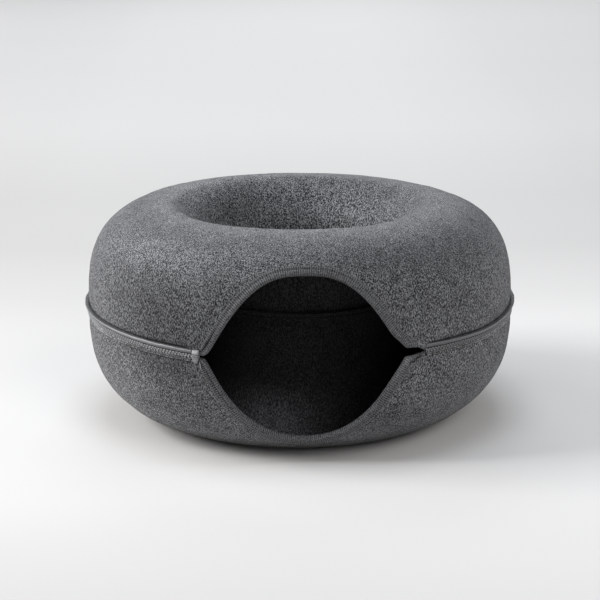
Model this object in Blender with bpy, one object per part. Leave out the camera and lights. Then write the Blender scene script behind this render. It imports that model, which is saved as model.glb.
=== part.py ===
"""A felt cat cave: a ring-shaped tunnel that a cat walks round inside, pressed from two felt
half-shells, an upper and a lower one, and closed round its outside by a zip.

Both halves are cut away at the front for the way in, and tape binds the cut edges. At the
waist of the centre hole each half turns out into the tunnel as a narrow seam allowance.

Every piece is laid out on the bed's skin, whose places are given by three numbers:
  turn   degrees round the ring from the middle of the way in, positive to the right
  along  metres along the ring's cross-section, 0 at the zip, up and over positive
  out    metres off the outer face of the felt, positive outwards
"""

import math

import bmesh
import bpy
import numpy as np
from mathutils import Vector

# ---- Driving dimensions, in metres and degrees ----
FELT_RADIUS = 0.250          # outer face of the felt at the zip
BED_HEIGHT = 0.249
ZIP_HEIGHT = 0.1265          # the zip's line above the floor
CREST_RADIUS = 0.1557        # where the ring is highest
WAIST_RADIUS = 0.116         # narrowest part of the centre hole
WAIST_HEIGHT = 0.125
WAIST_SEAM_HEIGHT = 0.140    # where the two halves meet in the hole
BASE_RADII = (0.142, 0.160)  # the flat ring that the bed stands on
FELT_THICKNESS = 0.004
RING_AXIS_Y = -0.0073        # puts the frame's origin under the middle of the whole bed

# How square each quarter of the cross-section is, across and up: 2 is an ellipse.
UPPER_OUTER_ROUND = (2.17, 3.33)
LOWER_OUTER_ROUND = (1.61, 2.80)
INNER_ROUND = (2.13, 2.13)

SEAM_BEND = 0.005            # radius of the fold at that seam
SEAM_ALLOWANCE = 0.006       # flat width of the seam allowance past the fold
SEAM_GAP = 0.0008            # between the two halves, at the zip and at the waist

# The way in: an eye-shaped opening whose sides flare into the zip's two ends.
MOUTH_HALF_TURN = 26.5       # from the middle to a corner
MOUTH_RISE = 0.0952          # of the upper edge, measured along the skin
MOUTH_DROP = 0.1085
UPPER_SHOULDER = 2.72        # how flat the edge is at its middle
LOWER_SHOULDER = 2.20
UPPER_FLARE = 1.40           # how far the sides flare towards the corners
LOWER_FLARES = (1.00, 1.10)  # on the left and on the right
GAPE_TURNS = (22.0, 31.9)    # past the right corner the two halves part a little
UPPER_GAPE = 0.0046
LOWER_GAPE = 0.0034
CORNER_TURNS = (-27.9, -27.0)  # up to the left corner they part by the bindings' thickness
CORNER_RELIEF = 0.0017

PIECE_GAP = 0.0004           # between pieces that touch
TAPE_THICKNESS = 0.001
BINDING_WIDTH = 0.0092       # of the leg on either face of the felt
BINDING_LEFT_TURN = -27.0
UPPER_BINDING_RIGHT_TURN = 29.0
LOWER_BINDING_RIGHT_TURN = 30.4
BINDING_ROLL = 0.0012        # how far the binding's rounded rim stands proud of its flat

ZIP_LEFT_TURN = -29.3        # on the right it ends where the two halves stop parting
END_TAB_TURNS = (-29.1, -27.2)

# Where the felt is out of true: soft bulges and dents, as (turn, along, reach, out).
UNEVEN_FELT = (
    (-48.0, -0.118, 0.060, +0.0030),
    (+52.0, -0.120, 0.060, -0.0016),
    (-50.0, +0.110, 0.075, -0.0014),
    (+62.0, +0.105, 0.080, +0.0012),
    (+130.0, +0.070, 0.110, -0.0022),
    (-128.0, +0.060, 0.100, +0.0018),
    (+175.0, -0.080, 0.120, -0.0020),
    (-92.0, -0.085, 0.090, +0.0016),
    (+100.0, -0.070, 0.090, +0.0014),
    (+30.0, +0.215, 0.060, -0.0018),
    (-75.0, +0.220, 0.070, +0.0015),
    (+165.0, +0.225, 0.080, -0.0016),
)

CALM_AFTER = 0.250           # along: the walls of the hole are true

# Where the zip strays up or down from level, as (turn, reach in degrees, rise).
SEAM_SWAYS = (
    (-32.0, 22.0, -0.0021),
    (53.0, 13.0, -0.0030),
    (30.0, 10.0, -0.0015),
    (-88.0, 20.0, +0.0010),
    (88.0, 20.0, +0.0010),
)
SWAY_REACH = 0.016           # how far above and below the zip the felt strays with it

# How finely each stretch is divided.
QUARTER_POINTS = 400         # of the true cross-section that lengths are measured on
MOUTH_STEPS = 30
BACK_STEPS = 34
EDGE_TO_CREST_ROWS = 8
CREST_TO_SEAM_ROWS = 6
FOLD_ROWS = 2

# Colours are linear.
FELT_COLOUR = (0.105, 0.108, 0.113)
TAPE_COLOUR = (0.118, 0.120, 0.122)
COIL_COLOUR = (0.150, 0.153, 0.157)
TAB_COLOUR = (0.300, 0.305, 0.310)


# ---- The cross-section ----
def quarter(centre, reach, roundness, start_deg, end_deg):
    """One quarter of the ring's cross-section, as (radius, height) rows: a squarish ellipse."""
    rows = []
    for angle in np.radians(np.linspace(start_deg, end_deg, QUARTER_POINTS)):
        across = abs(math.cos(angle)) ** (2 / roundness[0]) * reach[0]
        up = abs(math.sin(angle)) ** (2 / roundness[1]) * reach[1]
        rows.append((centre[0] + across, centre[1] + up))
    return rows


def seam_fold(side):
    """The fold where a half turns out into the tunnel, as (radius, height) rows."""
    face = WAIST_SEAM_HEIGHT + side * SEAM_GAP / 2
    rows = []
    for angle in np.radians(np.linspace(0, 90, 40)):
        rows.append((
            WAIST_RADIUS + SEAM_BEND * (1 - math.cos(angle)),
            face + side * SEAM_BEND * (1 - math.sin(angle)),
        ))
    return rows


class Section:
    """One half's cross-section, from the zip over the crest or under the base to the waist.

    knots holds its lengths from the zip to where each stretch ends: the crest or the base's
    outer edge, the base's inner edge, the start of the seam's fold, its end, and the cut edge.
    """

    def __init__(self, side):
        inside, outside = (CREST_RADIUS, CREST_RADIUS) if side > 0 else BASE_RADII
        far = BED_HEIGHT if side > 0 else 0.0
        outer_round = UPPER_OUTER_ROUND if side > 0 else LOWER_OUTER_ROUND
        outer = quarter(
            (outside, ZIP_HEIGHT), (FELT_RADIUS - outside, far - ZIP_HEIGHT), outer_round, 0, 90
        )
        inner = quarter(
            (inside, WAIST_HEIGHT), (WAIST_RADIUS - inside, far - WAIST_HEIGHT), INNER_ROUND, 90, 0
        )
        fold = seam_fold(side)
        if side > 0:
            inner = [row for row in inner if row[1] > fold[0][1]]
        cut_edge = (WAIST_RADIUS + SEAM_BEND + SEAM_ALLOWANCE, fold[-1][1])
        self.points = np.array([*outer, *inner, *fold, cut_edge])
        steps = np.hypot(*np.diff(self.points, axis=0).T)
        self.lengths = np.concatenate([[0.0], np.cumsum(steps)])
        ends = np.cumsum([len(outer), 1, len(inner), len(fold) - 1, 1]) - 1
        self.knots = self.lengths[ends]

    def at(self, length):
        """(radius, height) at that length from the zip."""
        return np.array([np.interp(length, self.lengths, axis) for axis in self.points.T])


UPPER = Section(+1)
LOWER = Section(-1)
NORMAL_STEP = 0.0006         # over which the section's direction is measured


def section_at(along):
    """(radius, height) on the outer face of the felt."""
    if along >= 0:
        return UPPER.at(along)
    return LOWER.at(-along)


def unevenness(turn, along):
    """How far the felt stands out of true there. It dies away towards the base and the waist."""
    total = 0.0
    for middle_turn, middle_along, reach, out in UNEVEN_FELT:
        round_gap = (turn - middle_turn + 180) % 360 - 180
        sideways = math.radians(round_gap) * FELT_RADIUS
        distance = math.hypot(sideways, along - middle_along) / reach
        total += out * math.exp(-distance * distance)
    height = section_at(along)[1]
    near_floor = min(1.0, max(0.0, height / 0.030))
    past_crest = max(0.0, abs(along) - CALM_AFTER) / 0.040
    return total * near_floor * near_floor * max(0.0, 1.0 - past_crest)


def seam_sway(turn):
    """How far the zip lies above its level line there."""
    total = 0.0
    for middle, reach, rise in SEAM_SWAYS:
        gap = ((turn - middle + 180) % 360 - 180) / reach
        total += rise * math.exp(-gap * gap)
    return total


def on_skin(turn, along, out=0.0):
    """The point at that place on the bed's skin."""
    lift = unevenness(turn, along) + out
    along += seam_sway(turn) * math.exp(-(along / SWAY_REACH) ** 2)
    run = section_at(along + NORMAL_STEP) - section_at(along - NORMAL_STEP)
    run /= np.hypot(*run)
    normal = np.array([run[1], -run[0]])
    radius, height = section_at(along) + normal * lift
    angle = math.radians(turn)
    return Vector((
        radius * math.sin(angle),
        RING_AXIS_Y - radius * math.cos(angle),
        height,
    ))


# ---- The way in ----
def mouth_edge(turn, side):
    """How far along the skin the felt of the upper (+1) or lower (-1) half starts."""
    reach, shoulder, flare, gape = (MOUTH_RISE, UPPER_SHOULDER, UPPER_FLARE, UPPER_GAPE)
    if side < 0:
        flare = LOWER_FLARES[0] if turn < 0 else LOWER_FLARES[1]
        reach, shoulder, gape = (MOUTH_DROP, LOWER_SHOULDER, LOWER_GAPE)
    share = min(1.0, abs(turn) / MOUTH_HALF_TURN)
    opening = reach * (1 - share ** shoulder) ** flare
    past = (turn - GAPE_TURNS[0]) / (GAPE_TURNS[1] - GAPE_TURNS[0])
    if 0 < past < 1:
        opening += gape * math.sin(math.pi * past)
    if turn < 0:
        eased = (turn - CORNER_TURNS[0]) / (CORNER_TURNS[1] - CORNER_TURNS[0])
        opening = math.hypot(opening, CORNER_RELIEF * min(1.0, max(0.0, eased)))
    return side * (SEAM_GAP / 2 + opening)


def slant(turn, side):
    """How many times longer a step along the skin is than the same step square to the edge."""
    reach = 0.2
    rise = mouth_edge(turn + reach, side) - mouth_edge(turn - reach, side)
    run = math.radians(2 * reach) * section_at(mouth_edge(turn, side))[0]
    return math.hypot(run, rise) / run


def binding_turns(side):
    """The stations across the way in, at even steps along one half's cut edge."""
    right = UPPER_BINDING_RIGHT_TURN if side > 0 else LOWER_BINDING_RIGHT_TURN
    turns = np.linspace(BINDING_LEFT_TURN, right, 600)
    edge = np.array([mouth_edge(turn, side) for turn in turns])
    steps = np.hypot(np.radians(np.diff(turns)) * FELT_RADIUS, np.diff(edge))
    walked = np.concatenate([[0.0], np.cumsum(steps)])
    return np.interp(np.linspace(0, walked[-1], MOUTH_STEPS + 1), walked, turns)


def back_turns():
    """The stations from the way in's right end round the back to its left corner."""
    return np.linspace(GAPE_TURNS[1], 360 + CORNER_TURNS[0], BACK_STEPS + 1)


# ---- Building ----
def clear_scene():
    for old in list(bpy.data.objects):
        bpy.data.objects.remove(old)


def finish_material(name, colour, roughness):
    material = bpy.data.materials.new(name + " finish")
    material.use_nodes = True
    shader = material.node_tree.nodes["Principled BSDF"]
    shader.inputs["Base Color"].default_value = (*colour, 1)
    shader.inputs["Roughness"].default_value = roughness
    return material


def add_object(name, mesh, colour, roughness):
    mesh.materials.append(finish_material(name, colour, roughness))
    mesh.shade_smooth()
    mesh.set_sharp_from_angle(angle=math.radians(50))
    made = bpy.data.objects.new(name, mesh)
    bpy.context.scene.collection.objects.link(made)
    return made


def bridge_rows(name, rows, closed_round, closed_across):
    """A mesh of quads over rows of points. Open rows that close across get flat end caps."""
    shape = bmesh.new()
    grid = [[shape.verts.new(point) for point in row] for row in rows]
    row_count = len(grid)
    column_count = len(grid[0])
    for i in range(row_count if closed_round else row_count - 1):
        near = grid[i]
        far = grid[(i + 1) % row_count]
        for j in range(column_count if closed_across else column_count - 1):
            k = (j + 1) % column_count
            shape.faces.new((near[j], near[k], far[k], far[j]))
    if closed_across and not closed_round:
        shape.faces.new(grid[0][::-1])
        shape.faces.new(grid[-1])
    if closed_across:
        bmesh.ops.recalc_face_normals(shape, faces=shape.faces[:])
    # The short diagonal keeps slanting facets on the skin.
    bmesh.ops.triangulate(shape, faces=shape.faces[:], quad_method="SHORT_EDGE")
    mesh = bpy.data.meshes.new(name)
    shape.to_mesh(mesh)
    shape.free()
    return mesh


def half_shell(name, side, section):
    """One pressed half: at each station its outer face from edge to waist, and back inside."""
    crest, base, fold, fold_end, cut_edge = section.knots
    to_seam = np.linspace(base, fold, CREST_TO_SEAM_ROWS + 1)
    if base - crest < FELT_THICKNESS:
        to_seam = to_seam[1:]
    round_fold = np.linspace(fold, fold_end, FOLD_ROWS + 1)[1:]
    rows = []
    for turn in [*binding_turns(side), *back_turns()]:
        edge = abs(mouth_edge(turn, side))
        bound = BINDING_WIDTH * slant(turn, side)
        close_rows = [edge, edge + bound / 2, edge + bound]
        to_crest = np.linspace(close_rows[-1], crest, EDGE_TO_CREST_ROWS + 1)[1:]
        lengths = [*close_rows, *to_crest, *to_seam, *round_fold, cut_edge]
        outer = [on_skin(turn, side * length) for length in lengths]
        inner = [on_skin(turn, side * length, -FELT_THICKNESS) for length in lengths]
        rows.append(outer + inner[::-1])
    return add_object(name, bridge_rows(name, rows, True, True), FELT_COLOUR, 0.95)


def binding(name, side):
    """The tape folded over the cut edge of one half, as a U-shaped strip with a rounded rim."""
    outer = TAPE_THICKNESS + PIECE_GAP
    inner = FELT_THICKNESS + PIECE_GAP
    rim = PIECE_GAP + TAPE_THICKNESS
    # (back from the felt's edge, out from its outer face)
    profile = (
        (BINDING_WIDTH / 2, PIECE_GAP),
        (BINDING_WIDTH, PIECE_GAP),
        (BINDING_WIDTH, outer),
        (BINDING_WIDTH / 2, outer),
        (0.0030, outer + 0.2 * BINDING_ROLL),
        (0.0010, outer + BINDING_ROLL),
        (-0.6 * rim, outer + 0.4 * BINDING_ROLL),
        (-rim, -0.3 * FELT_THICKNESS),
        (-rim, -0.8 * FELT_THICKNESS),
        (-0.4 * rim, -inner - 0.7 * TAPE_THICKNESS),
        (0.0010, -inner - TAPE_THICKNESS),
        (BINDING_WIDTH / 2, -inner - TAPE_THICKNESS),
        (BINDING_WIDTH, -inner - TAPE_THICKNESS),
        (BINDING_WIDTH, -inner),
        (BINDING_WIDTH / 2, -inner),
        (-PIECE_GAP, -inner),
        (-PIECE_GAP, PIECE_GAP),
    )
    rows = []
    for turn in binding_turns(side):
        edge = mouth_edge(turn, side)
        along = side * slant(turn, side)
        rows.append([on_skin(turn, edge + back * along, out) for back, out in profile])
    return add_object(name, bridge_rows(name, rows, False, True), TAPE_COLOUR, 0.85)


def lower_tape_width(turn):
    """The zip's lower tape shows wider on the left of the bed than on the right."""
    return 0.0050 - 0.0012 * math.sin(math.radians(turn))


def zip_strand(name, outline_at, turns, colour, roughness):
    """A strip that follows the zip's line: outline_at gives its outline as (along, out) rows."""
    rows = []
    for turn in turns:
        rows.append([on_skin(turn, along, out) for along, out in outline_at(turn)])
    return add_object(name, bridge_rows(name, rows, False, True), colour, roughness)


def upper_tape_outline(_turn):
    """A rolled edge that slopes down towards the coils."""
    return (
        (0.0034, PIECE_GAP), (0.0034, 0.0019), (0.0047, 0.0034), (0.0060, 0.0044),
        (0.0070, 0.0044), (0.0077, 0.0026), (0.0077, PIECE_GAP),
    )


def coil_outline(_turn):
    """The closed coils of the zip, as one low ridge."""
    return (
        (-0.0010, PIECE_GAP), (-0.0010, 0.0020), (-0.0002, 0.0031), (0.0011, 0.0034),
        (0.0023, 0.0031), (0.0030, 0.0020), (0.0030, PIECE_GAP),
    )


def lower_tape_outline(turn):
    """A flat tape with a turned lower edge."""
    edge = -lower_tape_width(turn)
    return (
        (-0.0014, PIECE_GAP), (-0.0014, 0.0019), (-0.0024, 0.0023), (edge + 0.0016, 0.0027),
        (edge + 0.0004, 0.0023), (edge, 0.0013), (edge, PIECE_GAP),
    )


def end_tab_outline(_turn):
    """The folded tab that closes the zip's left end, over the ends of both tapes."""
    return (
        (-0.0074, PIECE_GAP), (-0.0078, 0.0020), (-0.0066, 0.0036), (-0.0030, 0.0042),
        (0.0030, 0.0046), (0.0068, 0.0044), (0.0080, 0.0026), (0.0078, PIECE_GAP),
    )


def build():
    clear_scene()
    half_shell("felt_upper_half", +1, UPPER)
    half_shell("felt_lower_half", -1, LOWER)
    binding("binding_upper", +1)
    binding("binding_lower", -1)
    zip_turns = [*back_turns()[:-1], 360 + ZIP_LEFT_TURN]
    zip_strand("zip_tape_upper", upper_tape_outline, zip_turns, TAPE_COLOUR, 0.85)
    zip_strand("zip_coil", coil_outline, zip_turns, COIL_COLOUR, 0.55)
    zip_strand("zip_tape_lower", lower_tape_outline, zip_turns, TAPE_COLOUR, 0.85)
    tab_turns = np.linspace(*END_TAB_TURNS, 4)
    zip_strand("zip_end_tab", end_tab_outline, tab_turns, TAB_COLOUR, 0.75)


build()
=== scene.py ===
import math

import bpy
import numpy as np
from mathutils import Matrix, Vector, noise


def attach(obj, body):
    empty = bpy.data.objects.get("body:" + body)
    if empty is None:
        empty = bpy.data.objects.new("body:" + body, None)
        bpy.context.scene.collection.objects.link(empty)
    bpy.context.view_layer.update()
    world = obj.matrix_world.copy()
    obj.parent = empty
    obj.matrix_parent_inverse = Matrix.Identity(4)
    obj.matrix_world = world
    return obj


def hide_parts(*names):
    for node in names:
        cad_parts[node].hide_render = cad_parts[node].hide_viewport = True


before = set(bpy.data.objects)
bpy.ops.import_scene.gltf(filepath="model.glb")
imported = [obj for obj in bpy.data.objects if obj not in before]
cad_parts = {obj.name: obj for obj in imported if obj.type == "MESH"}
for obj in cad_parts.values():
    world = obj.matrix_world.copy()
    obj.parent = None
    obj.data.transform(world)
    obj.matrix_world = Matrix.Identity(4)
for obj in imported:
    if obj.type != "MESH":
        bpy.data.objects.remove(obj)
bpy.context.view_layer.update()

bpy.ops.object.select_all(action="DESELECT")


# ---- The two felt halves ----
# The bed is two ring-shaped halves, an upper and a lower one, each hot-pressed from a round
# blank of 4 mm heathered grey needle felt and cut away at the front for the way in. The zip
# joins them round the outside, and at the waist of the centre hole each turns into the tunnel.
#
# Every piece lies on the bed's skin, whose places are given by three numbers:
#   turn   degrees round the ring from the middle of the way in, positive to the right
#   along  metres along the ring's cross-section, 0 at the zip, up and over positive
#   out    metres off the outer face of the felt, positive outwards
FELT_RADIUS = 0.250          # outer face of the felt at the zip
BED_HEIGHT = 0.249
ZIP_HEIGHT = 0.1265
CREST_RADIUS = 0.1557
WAIST_RADIUS = 0.116
WAIST_HEIGHT = 0.125
WAIST_SEAM_HEIGHT = 0.140
BASE_RADII = (0.142, 0.160)  # the flat ring that the bed stands on
FELT_THICKNESS = 0.004
RING_AXIS_Y = -0.0073
# How square each quarter of the cross-section is, across and up: 2 is an ellipse.
UPPER_OUTER_ROUND = (2.17, 3.33)
LOWER_OUTER_ROUND = (1.61, 2.80)
INNER_ROUND = (2.13, 2.13)
SEAM_BEND = 0.005
SEAM_ALLOWANCE = 0.006
SEAM_GAP = 0.0008
QUARTER_STEPS, FOLD_STEPS = 400, 40
NORMAL_STEP = 0.0006         # over which the skin's slope is measured


def quarter(centre, reach, roundness, start_deg, end_deg):
    """One quarter of the ring's cross-section, as (radius, height) rows: a squarish ellipse."""
    angle = np.radians(np.linspace(start_deg, end_deg, QUARTER_STEPS))
    across = np.abs(np.cos(angle)) ** (2 / roundness[0]) * reach[0]
    up = np.abs(np.sin(angle)) ** (2 / roundness[1]) * reach[1]
    return np.column_stack([centre[0] + across, centre[1] + up])


def cross_section(side):
    """The upper (+1) or lower (-1) half's outline from the zip to its cut edge in the tunnel.

    Gives its lengths, its (radius, height) rows, and the lengths of its knots: the crest or the
    base's outer edge, the base's inner edge, the start and the end of the seam's fold.
    """
    inside, outside = (CREST_RADIUS, CREST_RADIUS) if side > 0 else BASE_RADII
    far = BED_HEIGHT if side > 0 else 0.0
    outer_round = UPPER_OUTER_ROUND if side > 0 else LOWER_OUTER_ROUND
    outer = quarter(
        (outside, ZIP_HEIGHT), (FELT_RADIUS - outside, far - ZIP_HEIGHT), outer_round, 0, 90
    )
    inner = quarter(
        (inside, WAIST_HEIGHT), (WAIST_RADIUS - inside, far - WAIST_HEIGHT), INNER_ROUND, 90, 0
    )
    face = WAIST_SEAM_HEIGHT + side * SEAM_GAP / 2
    bend = np.radians(np.linspace(0, 90, FOLD_STEPS))
    fold = np.column_stack([
        WAIST_RADIUS + SEAM_BEND * (1 - np.cos(bend)),
        face + side * SEAM_BEND * (1 - np.sin(bend)),
    ])
    if side > 0:
        inner = inner[inner[:, 1] > fold[0, 1]]
    cut_edge = [[WAIST_RADIUS + SEAM_BEND + SEAM_ALLOWANCE, face]]
    points = np.concatenate([outer, inner, fold, cut_edge])
    lengths = np.concatenate([[0.0], np.cumsum(np.hypot(*np.diff(points, axis=0).T))])
    knots = lengths[np.cumsum([len(outer), 1, len(inner), len(fold) - 1]) - 1]
    return lengths, points, knots


SECTIONS = {side: cross_section(side) for side in (+1, -1)}

# Where the felt is out of true: soft bulges and dents, as (turn, along, reach, out).
UNEVEN_FELT = (
    (-48.0, -0.118, 0.060, +0.0030),
    (+52.0, -0.120, 0.060, -0.0016),
    (-50.0, +0.110, 0.075, -0.0014),
    (+62.0, +0.105, 0.080, +0.0012),
    (+130.0, +0.070, 0.110, -0.0022),
    (-128.0, +0.060, 0.100, +0.0018),
    (+175.0, -0.080, 0.120, -0.0020),
    (-92.0, -0.085, 0.090, +0.0016),
    (+100.0, -0.070, 0.090, +0.0014),
    (+30.0, +0.215, 0.060, -0.0018),
    (-75.0, +0.220, 0.070, +0.0015),
    (+165.0, +0.225, 0.080, -0.0016),
)
CALM_AFTER = 0.250           # how far along the skin the felt starts to be true again
CALM_REACH = 0.040
FLOOR_CALM = 0.030           # how high up the floor still holds the felt true

# Where the zip strays up or down from level, as (turn, reach in degrees, rise).
SEAM_SWAYS = (
    (-32.0, 22.0, -0.0021),
    (53.0, 13.0, -0.0030),
    (30.0, 10.0, -0.0015),
    (-88.0, 20.0, +0.0010),
    (88.0, 20.0, +0.0010),
)
SWAY_REACH = 0.016           # how far along the skin the felt sways with the zip


def wrap(turn):
    """That turn between -180 and +180 degrees."""
    return (turn + 180) % 360 - 180


def section_at(along):
    """(radius, height) on the outer face of the felt."""
    upper = [np.interp(along, SECTIONS[+1][0], axis) for axis in SECTIONS[+1][1].T]
    lower = [np.interp(-along, SECTIONS[-1][0], axis) for axis in SECTIONS[-1][1].T]
    return np.where(along >= 0, upper, lower)


def off_floor(along):
    """0 where the bed rests on the floor, 1 well above it."""
    return np.clip(section_at(along)[1] / FLOOR_CALM, 0, 1) ** 2


def unevenness(turn, along):
    """How far the felt stands out of true there."""
    total = np.zeros(np.shape(turn))
    for middle_turn, middle_along, reach, out in UNEVEN_FELT:
        across = np.radians(wrap(turn - middle_turn)) * FELT_RADIUS
        distance = np.hypot(across, along - middle_along) / reach
        total += out * np.exp(-distance * distance)
    past_crest = np.clip((np.abs(along) - CALM_AFTER) / CALM_REACH, 0, 1)
    return total * off_floor(along) * (1 - past_crest)


def seam_sway(turn):
    """How far the zip lies above its level line there."""
    total = np.zeros(np.shape(turn))
    for middle, reach, rise in SEAM_SWAYS:
        gap = wrap(turn - middle) / reach
        total += rise * np.exp(-gap * gap)
    return total


def on_skin(turn, along, out=0.0):
    """The points at those places on the bed's skin."""
    turn, along, out = np.broadcast_arrays(turn, along, out)
    lift = unevenness(turn, along) + out
    along = along + seam_sway(turn) * np.exp(-(along / SWAY_REACH) ** 2)
    run = section_at(along + NORMAL_STEP) - section_at(along - NORMAL_STEP)
    run /= np.hypot(*run)
    radius, height = section_at(along) + np.stack([run[1], -run[0]]) * lift
    angle = np.radians(turn)
    return np.stack(
        [radius * np.sin(angle), RING_AXIS_Y - radius * np.cos(angle), height], axis=-1
    )


# The way in: an eye-shaped opening whose sides flare into the zip's two ends.
MOUTH_HALF_TURN = 26.5
MOUTH_RISE = 0.0952
MOUTH_DROP = 0.1085
UPPER_SHOULDER = 2.72
LOWER_SHOULDER = 2.20
UPPER_FLARE = 1.40
LOWER_FLARES = (1.00, 1.10)
GAPE_TURNS = (22.0, 31.9)    # past the right corner the two halves part a little
UPPER_GAPE = 0.0046
LOWER_GAPE = 0.0034
# There the two edges also step apart, and the upper one is ragged past its tape.
PARTING = {+1: 0.0029, -1: 0.0010}
PARTING_STARTS, PARTING_ENDS = (22.8, 2.6), (30.5, 1.3)  # turn, and degrees that it takes
RAGGED_TURN = 29.9
RAGGED_REACH = 0.75
FRAYED, FRAYED_BY_TURNS = 0.0013, 0.0004
CORNER_TURNS = (-27.9, -27.0)
CORNER_RELIEF = 0.0017
BINDING_LEFT_TURN = -27.0
BINDING_RIGHT_TURNS = {+1: 29.0, -1: 30.4}


def ease(share):
    """From 0 to 1 with a gentle start and end."""
    share = np.clip(share, 0, 1)
    return share * share * (3 - 2 * share)


def mouth_edge(turn, side):
    """How far along the skin the felt of the upper (+1) or lower (-1) half starts."""
    reach, shoulder, flare, gape = (MOUTH_RISE, UPPER_SHOULDER, UPPER_FLARE, UPPER_GAPE)
    if side < 0:
        flare = np.where(turn < 0, *LOWER_FLARES)
        reach, shoulder, gape = (MOUTH_DROP, LOWER_SHOULDER, LOWER_GAPE)
    share = np.clip(np.abs(turn) / MOUTH_HALF_TURN, 0, 1)
    opening = reach * (1 - share ** shoulder) ** flare
    past = np.clip((turn - GAPE_TURNS[0]) / (GAPE_TURNS[1] - GAPE_TURNS[0]), 0, 1)
    opening = opening + gape * np.sin(np.pi * past)
    started, ended = (
        ease((turn - first) / taking) for first, taking in (PARTING_STARTS, PARTING_ENDS)
    )
    opening = opening + PARTING[side] * started * (1 - ended)
    if side > 0:
        frayed = FRAYED + FRAYED_BY_TURNS * np.sin(turn * 17)
        opening = opening + np.exp(-((turn - RAGGED_TURN) / RAGGED_REACH) ** 2) * frayed
    eased = np.clip((turn - CORNER_TURNS[0]) / (CORNER_TURNS[1] - CORNER_TURNS[0]), 0, 1)
    opening = np.where(turn < 0, np.hypot(opening, CORNER_RELIEF * eased), opening)
    return side * (SEAM_GAP / 2 + opening)


def edge_stations(side, count):
    """Turns across the way in at even steps along one half's cut edge, and the step."""
    turns = np.linspace(BINDING_LEFT_TURN, BINDING_RIGHT_TURNS[side], 2000)
    edge = mouth_edge(turns, side)
    steps = np.hypot(np.radians(np.diff(turns)) * FELT_RADIUS, np.diff(edge))
    walked = np.concatenate([[0.0], np.cumsum(steps)])
    return np.interp(np.linspace(0, walked[-1], count), walked, turns), walked[-1] / (count - 1)


def lay_grid(name, places, spread, inner_rows=None):
    """A grid primitive laid on places[column, row].

    spread gives its UV map in metres, and how pale the cloth is there, its painted light and shade,
    as a corner attribute.
    Rows or columns that end where they start are closed up, and ends left open are filled.
    inner_rows are the rows whose faces take the piece's second material.
    """
    columns, rows = places.shape[:2]
    bpy.ops.mesh.primitive_grid_add(x_subdivisions=columns - 1, y_subdivisions=rows - 1, size=1)
    piece = bpy.context.object
    piece.name = piece.data.name = name
    mesh = piece.data
    flat = np.empty(len(mesh.vertices) * 3, np.float32)
    mesh.vertices.foreach_get("co", flat)
    column, row = np.rint(
        (flat.reshape(-1, 3)[:, :2] + 0.5) * (columns - 1, rows - 1)
    ).astype(int).T
    mesh.vertices.foreach_set("co", places[column, row].astype(np.float32).ravel())
    corners = np.empty(len(mesh.loops), np.int32)
    mesh.loops.foreach_get("vertex_index", corners)
    at_corner = spread[column, row][corners].astype(np.float32)
    mesh.uv_layers[0].data.foreach_set("uv", at_corner[:, :2].ravel())
    mesh.uv_layers[0].name = "cloth"
    mesh.attributes.new("painted_shade_and_light", "FLOAT", "CORNER").data.foreach_set("value", at_corner[:, 2])
    if inner_rows:
        lowest = row[corners].reshape(-1, 4).min(1)
        inside = (lowest >= inner_rows[0]) & (lowest < inner_rows[1])
        mesh.polygons.foreach_set("material_index", inside.astype(np.int32))
    bpy.ops.object.mode_set(mode="EDIT")
    bpy.ops.mesh.select_all(action="SELECT")
    bpy.ops.mesh.remove_doubles(threshold=1e-6)
    bpy.ops.mesh.select_all(action="SELECT")
    bpy.ops.mesh.fill_holes(sides=0)
    bpy.ops.mesh.normals_make_consistent(inside=False)
    bpy.ops.object.mode_set(mode="OBJECT")
    bpy.ops.object.shade_smooth_by_angle(angle=math.radians(50))
    piece.select_set(False)
    return piece


def add_node(tree, kind, links, **settings):
    """A shader node whose sockets are linked, or set, as links says."""
    node = tree.nodes.new("ShaderNode" + kind)
    for key, value in settings.items():
        setattr(node, key, value)
    for socket, value in links.items():
        if isinstance(value, bpy.types.NodeSocket):
            tree.links.new(value, node.inputs[socket])
        else:
            node.inputs[socket].default_value = value
    return node


def blend(tree, amount, dark, pale):
    """The colour between dark and pale that amount says."""
    colours = {"Factor": amount, 6: (*dark, 1), 7: (*pale, 1)}
    return add_node(tree, "Mix", colours, data_type="RGBA").outputs[2]


def plus(tree, value, times, more):
    """value x times + more."""
    return add_node(
        tree, "Math", {0: value, 1: times, 2: more}, operation="MULTIPLY_ADD"
    ).outputs[0]


def scaled(tree, colour, factor):
    """That colour x factor."""
    return add_node(
        tree, "VectorMath", {0: colour, "Scale": factor}, operation="SCALE"
    ).outputs[0]


def mapped(tree, value, start, end, low=0.0, high=1.0):
    """From low to high as value goes from start to end, and level beyond them."""
    return add_node(tree, "MapRange", {
        "Value": value, "From Min": start, "From Max": end, "To Min": low, "To Max": high,
    }).outputs[0]


def grain(tree, place, scale, detail, **more):
    """Fine noise over the surface."""
    return add_node(
        tree, "TexNoise", {"Vector": place, "Scale": scale, "Detail": detail, **more}
    ).outputs["Fac"]


def where_in_metres(tree):
    """The place on the bed, which grain is laid by."""
    return add_node(tree, "TexCoord", {}).outputs["Object"]


def colour_and_bump(tree, shader, colour, height=None, strength=0.0, distance=0.0):
    """Links that colour, and a bump of that height if there is one."""
    tree.links.new(colour, shader.inputs["Base Color"])
    if height is not None:
        bump = add_node(
            tree, "Bump", {"Height": height, "Strength": strength, "Distance": distance}
        )
        tree.links.new(bump.outputs[0], shader.inputs["Normal"])


def new_finish(name, roughness, **constants):
    """A material, its node tree and its shader, with those constants on the shader."""
    material = bpy.data.materials.new(name)
    material.use_nodes = True
    shader = material.node_tree.nodes["Principled BSDF"]
    shader.inputs["Roughness"].default_value = roughness
    for socket, value in constants.items():
        shader.inputs[socket.replace("_", " ")].default_value = value
    return material, material.node_tree, shader


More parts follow.
